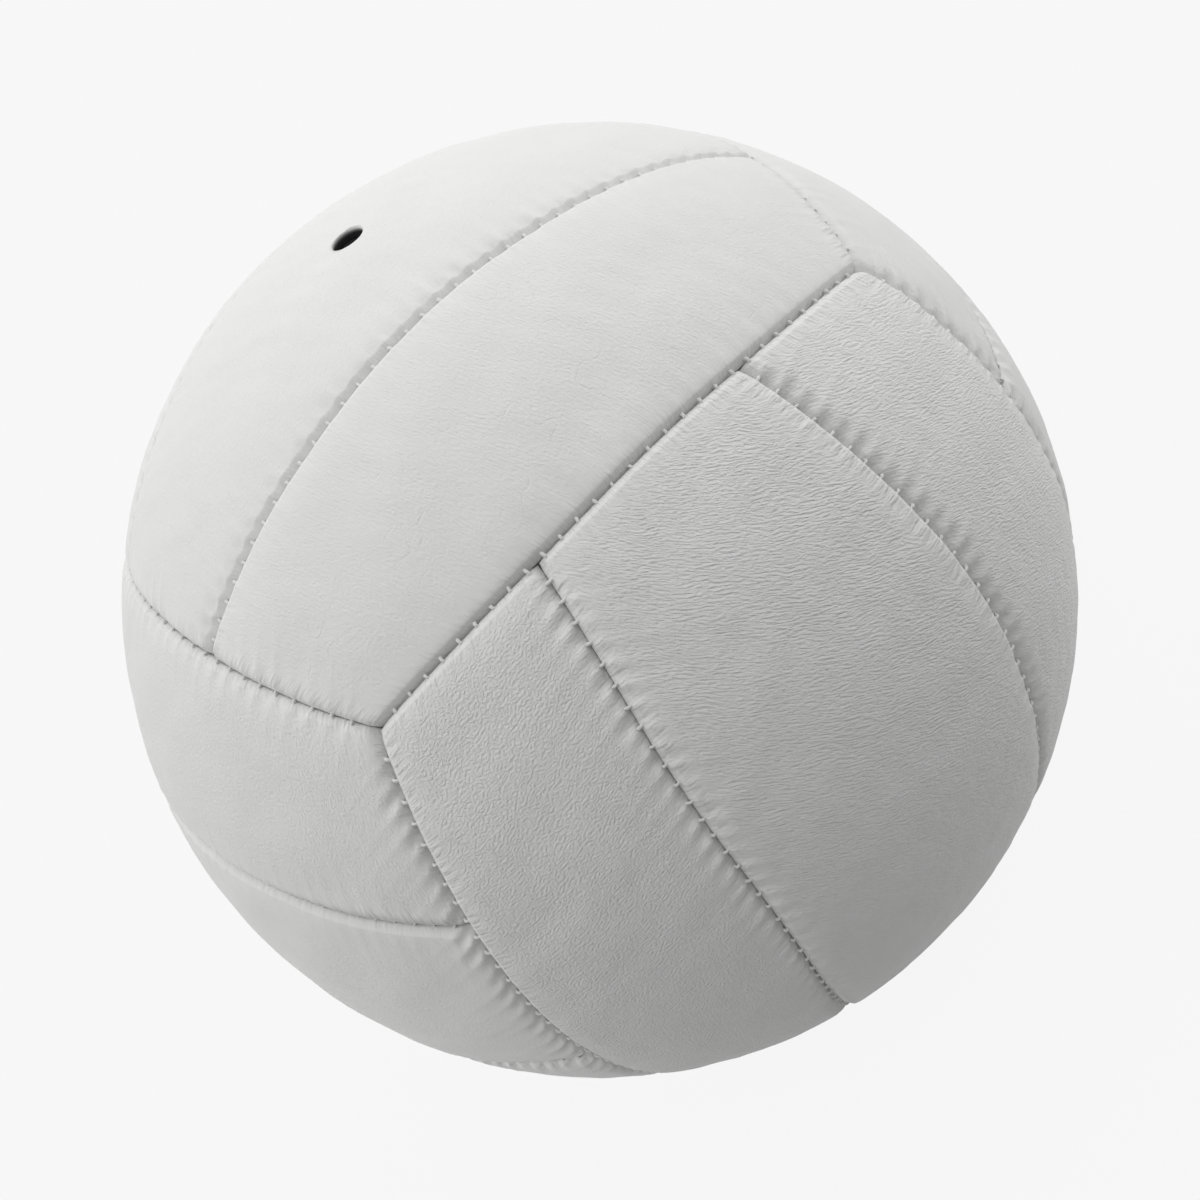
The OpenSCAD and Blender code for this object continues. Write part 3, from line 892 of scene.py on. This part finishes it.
def finish_leather(obj, strip, name):
    """The maps that the leather's material reads: its grain, places, distances from the seams, finish, and painted
    shade beside the seams and in the valve's hole.
    """
    co = np.zeros(len(obj.data.vertices) * 3, np.float32)
    obj.data.vertices.foreach_get("co", co)
    d = unit(co.reshape(-1, 3).astype(float))
    local = d @ np.array(FACES[strip.face]).T
    middle = (strip.low + strip.high) / 2
    a = np.arctan2(local[:, 0], local[:, 2])
    b = np.arctan2(local[:, 1], local[:, 2])
    ripple, pebble, angle = GRAIN.get(name, PLAIN_GRAIN)
    x, y = a * BALL_R * np.cos(b), (b - middle) * BALL_R
    c, s = math.cos(math.radians(angle)), math.sin(math.radians(angle))
    uv_layer(obj, "grain", np.stack([c * x + s * y, c * y - s * x], axis=1) + GRAIN_SHIFT)
    uv_layer(obj, "strip", np.stack([a, b], axis=1) * BALL_R + STRIP_SHIFT)
    away = [np.abs(seam.place(d)[0]) for seam in strip.seams]
    float_layer(obj, "side_distance", np.minimum(away[0], away[1]))
    float_layer(obj, "end_distance", np.minimum(away[2], away[3]))
    # Painted shade beside the seams, stronger where the leather rolls down deeper.
    float_layer(obj, "shade", sum(seam.shade(d) for seam in strip.seams))
    float_layer(obj, "ripple", np.full(len(d), ripple))
    float_layer(obj, "pebble", np.full(len(d), pebble))
    x, y, z = co.reshape(-1, 3).T
    # Painted shade on the valve hole's wall, darker deeper down.
    in_hole = (np.hypot(x, y) < HOLE_R + HOLE_SHADE_MARGIN) & (z > 0)
    float_layer(obj, "cut", in_hole * smooth(BALL_R - z, *HOLE_SHADE_DEPTHS))


def pad(face, name, low, high):
    """The foam backing behind one leather panel."""
    strip = Strip(face, low, high)
    hole = name == "top_middle"
    lines = [strip.axis(PAD_ROWS, size, PAD_STEPS, False) for size in strip.sizes]
    cells = [len(side) - 1 for side, _, _ in lines]
    bm = bmesh.new()
    skins = []
    for rows, flip in ((PAD_ROWS, False), (PAD_INNER_ROWS, True)):
        row_s = np.array([s for s, _ in rows])
        own = [(side, row, np.where(row < len(rows) - 1, row_s[row], s)) for side, row, s in lines]
        d, depth, _ = strip.directions(rows, own, (PAD_HOLE_R, 1) if hole else None, 1)
        if not flip:
            depth = np.minimum(depth + sinking(strip, d)[0], PAD_TOP + PAD_DEEPEST)
        skins.append(grid_skin(bm, *cells, wandered(d) * (BALL_R - depth)[:, None], flip))
    bmesh.ops.bridge_loops(bm, edges=[e for e in bm.edges if e.is_boundary])
    if hole:
        join_rims(bm, *(cut_hole(bm, verts, *cells, 1) for verts in skins))
    bmesh.ops.recalc_face_normals(bm, faces=bm.faces)
    return dress(new_object(f"backing_{name}", bm, BACKING), "backing", f"pad_{name}")


def spun(name, profile, steps, material_used):
    """A closed piece turned about Z from a profile of (radius, height) points."""
    bm = bmesh.new()
    verts = [bm.verts.new((r, 0, z)) for r, z in profile]
    edges = [bm.edges.new((a, b)) for a, b in zip(verts, verts[1:] + verts[:1])]
    about = {"cent": (0, 0, 0), "axis": (0, 0, 1), "angle": 2 * math.pi}
    bmesh.ops.spin(bm, geom=verts + edges, steps=steps, use_merge=True, **about)
    bmesh.ops.remove_doubles(bm, verts=bm.verts, dist=MERGE)
    bmesh.ops.recalc_face_normals(bm, faces=bm.faces)
    return new_object(name, bm, material_used)


def arc_points(radius, start, end, count):
    """Points of an arc in the profile's plane, by the angle from the axis."""
    return [(radius * math.sin(t), radius * math.cos(t)) for t in np.linspace(start, end, count)]


def hollow_shell(name, outer, thickness, material_used, slot_name, node):
    """A thin hollow ball with the valve's hole at its top."""
    inner = outer - thickness
    profile = arc_points(outer, math.asin(HOLE_R / outer), math.pi, SHELL_POINTS)
    profile += arc_points(inner, math.pi, math.asin(HOLE_R / inner), SHELL_POINTS)
    profile = [(max(r, 0.0), z) for r, z in profile]
    return dress(spun(name, profile, SHELL_STEPS, material_used), slot_name, node)


def valve():
    """The rubber valve: its flange inside the bladder with the stem, and the core plugged into it."""
    low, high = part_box("valve_stem")
    core_low, core_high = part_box("valve_core")
    flange_r, head_r = high.x, core_high.x
    stem_r, lip = HOLE_R - STEM_GAP, STEM_ROUND
    core_top, seat = core_high.z, core_high.z - CORE_HEAD_T
    flange_edge, under, brim = flange_r - lip, FLANGE_R - FLANGE_T, FLANGE_R - FLANGE_T / 2
    hollow, mouth = CORE_R + HOLLOW_GAP, head_r + CORE_HEAD_GAP
    stem = [
        (hollow, low.z),
        (stem_r - lip, low.z),
        (stem_r, low.z + lip),
        *arc_points(under, math.asin(stem_r / under), math.asin(flange_edge / under), FLANGE_POINTS),
        (flange_r, math.sqrt(brim**2 - flange_r**2)),
        *arc_points(FLANGE_R, math.asin(flange_edge / FLANGE_R), math.asin(stem_r / FLANGE_R), FLANGE_POINTS),
        (stem_r, high.z - lip),
        (stem_r - lip, high.z),
        (mouth + lip / 2, high.z),
        (mouth, high.z - lip / 2),
        (mouth, seat),
        (hollow, seat),
    ]
    shank, head_low = CORE_R - CORE_GAP, seat + HOLLOW_GAP
    core = [
        (0, core_low.z),
        (CORE_R * CORE_NOSE_SHARE, core_low.z),
        (shank, core_low.z + CORE_NOSE),
        (shank, head_low),
        (head_r - HEAD_CHAMFER, head_low),
        (head_r, seat + HEAD_CHAMFER),
        (head_r, core_top - lip),
        (head_r - lip, core_top),
        (FUNNEL_R, core_top),
        (NEEDLE_R, core_top - FUNNEL_DEPTH),
        (NEEDLE_R, core_top - NEEDLE_DEPTH),
        (0, core_top - NEEDLE_TIP),
    ]
    dress(spun("valve_body", stem, STEM_STEPS, VALVE), "valve_rubber", "valve_stem")
    dress(spun("valve_plug", core, CORE_STEPS, PLUG), "plug_rubber", "valve_core")


def nub():
    """One stitch: a short thread that comes up beside the seam, crosses it and goes down on the other side."""
    path = [Vector((x * NUB_HALF, 0, -down * MM)) for x, down in NUB_PATH]
    bm = bmesh.new()
    rings = []
    for number, point in enumerate(path):
        ahead = path[min(number + 1, len(path) - 1)] - path[max(number - 1, 0)]
        turn = ahead.to_track_quat("Z", "Y").to_matrix().to_4x4()
        shape = {"segments": THREAD_SIDES, "radius": THREAD_R, "cap_ends": number in (0, len(path) - 1)}
        ring = bmesh.ops.create_circle(bm, matrix=Matrix.Translation(point) @ turn, **shape)
        rings.append(ring["verts"])
    for one, two in zip(rings, rings[1:]):
        for k in range(len(one)):
            bm.faces.new((one[k], one[k - 1], two[k - 1], two[k]))
    bmesh.ops.recalc_face_normals(bm, faces=bm.faces)
    mesh = bpy.data.meshes.new("nub")
    bm.to_mesh(mesh)
    bm.free()
    return mesh


def stitch_seams(name, node, seams, template, seed):
    """The stitches of some seams as one piece, each a little different."""
    rng = random.Random(seed)
    bm = bmesh.new()
    for seam in seams:
        lean = rng.uniform(-SEAM_LEAN, SEAM_LEAN)
        for along in seam.stitches():
            at = along + rng.uniform(-STITCH_SHIFT, STITCH_SHIFT)
            d = math.cos(at / BALL_R) * seam.middle + math.sin(at / BALL_R) * seam.tangent
            out = Vector(wandered(d[None])[0])
            across = Vector(seam.normal)
            across = (across - out * across.dot(out)).normalized()
            turn = Matrix((across, out.cross(across), out)).transposed().to_4x4()
            lean_turn = Matrix.Rotation(math.radians(lean + rng.uniform(-STITCH_LEAN, STITCH_LEAN)), 4, "Z")
            size = Matrix.Diagonal((rng.uniform(*STITCH_LENGTHS), rng.uniform(*STITCH_WIDTHS), 1, 1))
            lift = Matrix.Translation((0, 0, BALL_R - seam.sunk + rng.uniform(-STITCH_LIFT, STITCH_LIFT)))
            before = len(bm.verts)
            bm.from_mesh(template)
            bm.verts.ensure_lookup_table()
            bmesh.ops.transform(bm, matrix=turn @ lift @ lean_turn @ size, verts=bm.verts[before:])
    return dress(new_object(name, bm, THREAD), "thread", node)


def all_stitches():
    """The threads of every face's two inner seams, and of its seams to two neighbouring faces."""
    template = nub()
    for number, face in enumerate(FACES):
        low_side, high_side = SIDES[face]
        pair = [SEAMS[f"{face}_strip_{side}"] for side in (low_side, high_side)]
        stitch_seams(f"threads_{face}_strips", f"stitches_{face}_strips", pair, template, number)
        for side in (low_side, high_side):
            target = {"lower": "bottom", "upper": "top"}.get(side, side)
            seam = SEAMS[f"{face}_side_{side}"]
            name = f"{face}_to_{target}"
            stitch_seams(f"threads_{name}", f"stitches_{name}", [seam], template, number + SIDE_SEED)
    bpy.data.meshes.remove(template)


for face_name in FACES:
    for part_name, low_edge, high_edge in strip_parts(face_name):
        leather_panel(face_name, part_name, low_edge, high_edge)
        pad(face_name, part_name, low_edge, high_edge)
all_stitches()
hollow_shell("cloth_lining", LINING_R, LINING_T, CLOTH, "lining_cloth", "lining")
hollow_shell("air_bladder", BLADDER_R, BLADDER_T, BLADDER, "bladder_rubber", "bladder")
valve()


# The light: wide soft boxes round the ball, each by its way in the picture (right, up, toward the camera) and its
# strength, before a pale backdrop.
BACKDROP = 0.93
SOFT_BOXES = {
    "low left": ((-1, -1, 0), 1.39),
    "left": ((-1, 0, 0), 0.665),
    "high left, in front": ((-1, 1, 1), 1.0),
    "high": ((0, 1, 0), 0.91),
    "high right": ((1, 1, 0), 1.02),
    "high right, behind": ((1, 1, -1), 0.79),
}
LIGHT_PEAK = 4.0
SOFTNESS = 3
FLOOR_ALBEDO = 0.29
FLOOR_GLOW = 0.97
FLOOR_SHADOW = 0.03
FLOOR_SIZE = 30


def make_camera():
    """The camera on the photograph's side, rolled as it was."""
    right, up, toward = camera_axes()
    data = bpy.data.cameras.new("camera")
    data.lens, data.clip_start, data.clip_end = LENS, *CLIP
    camera = bpy.data.objects.new("camera", data)
    bpy.context.scene.collection.objects.link(camera)
    turn = Matrix((right, up, toward)).transposed().to_4x4()
    camera.matrix_world = Matrix.Translation(toward * CAMERA_AWAY) @ turn
    bpy.context.scene.camera = camera


def make_world():
    """The soft boxes' light, behind the pale backdrop that the camera, glosses and clear things see."""
    world = bpy.data.worlds.new("surround")
    bpy.context.scene.world = world
    world.use_nodes = True
    g = Graph(world.node_tree)
    axes = camera_axes()
    way = g.node("ShaderNodeTexCoord", {}, {}, "Generated")
    light = 0
    for place, strength in SOFT_BOXES.values():
        aim = sum((axis * part for axis, part in zip(axes, place)), Vector()).normalized()
        facing = g.node("ShaderNodeVectorMath", {"operation": "DOT_PRODUCT"}, {0: way, 1: tuple(aim)}, "Value")
        light = light + strength / LIGHT_PEAK * g.maths("MAXIMUM", facing, 0) ** SOFTNESS
    dark = g.node("ShaderNodeBackground", {}, {"Strength": 0.0})
    bright = g.node("ShaderNodeBackground", {}, {"Color": grey(1), "Strength": LIGHT_PEAK})
    around = g.node("ShaderNodeMixShader", {}, {0: light, 1: dark, 2: bright})
    plain = g.node("ShaderNodeBackground", {}, {"Color": grey(BACKDROP), "Strength": 1.0})
    seen = g.backdrop_ray()
    shown = g.node("ShaderNodeMixShader", {}, {0: seen, 1: around, 2: plain})
    g.node("ShaderNodeOutputWorld", {}, {"Surface": shown})


def make_floor():
    """A pale floor that keeps a faint shadow and is see-through from below."""
    bm = bmesh.new()
    bmesh.ops.create_grid(bm, x_segments=1, y_segments=1, size=FLOOR_SIZE)
    bmesh.ops.translate(bm, vec=(0, 0, -BALL_R), verts=bm.verts)
    made, g = material("pale_floor")
    shade = g.node("ShaderNodeBsdfDiffuse", {}, {"Color": grey(FLOOR_ALBEDO)})
    glow = g.node("ShaderNodeEmission", {}, {"Color": grey(BACKDROP), "Strength": FLOOR_GLOW})
    faint = g.node("ShaderNodeBsdfDiffuse", {}, {"Color": grey(FLOOR_SHADOW)})
    pale = g.node("ShaderNodeAddShader", {}, {0: glow, 1: faint})
    seen = g.backdrop_ray()
    front = g.node("ShaderNodeMixShader", {}, {0: seen, 1: shade, 2: pale})
    behind = g.node("ShaderNodeNewGeometry", {}, {}, "Backfacing")
    clear = g.node("ShaderNodeBsdfTransparent", {}, {})
    both = g.node("ShaderNodeMixShader", {}, {0: behind, 1: front, 2: clear})
    g.node("ShaderNodeOutputMaterial", {}, {"Surface": both})
    floor = new_object("floor", bm, made, False)


make_camera()
make_world()
make_floor()
bpy.context.scene.view_settings.view_transform = "Standard"
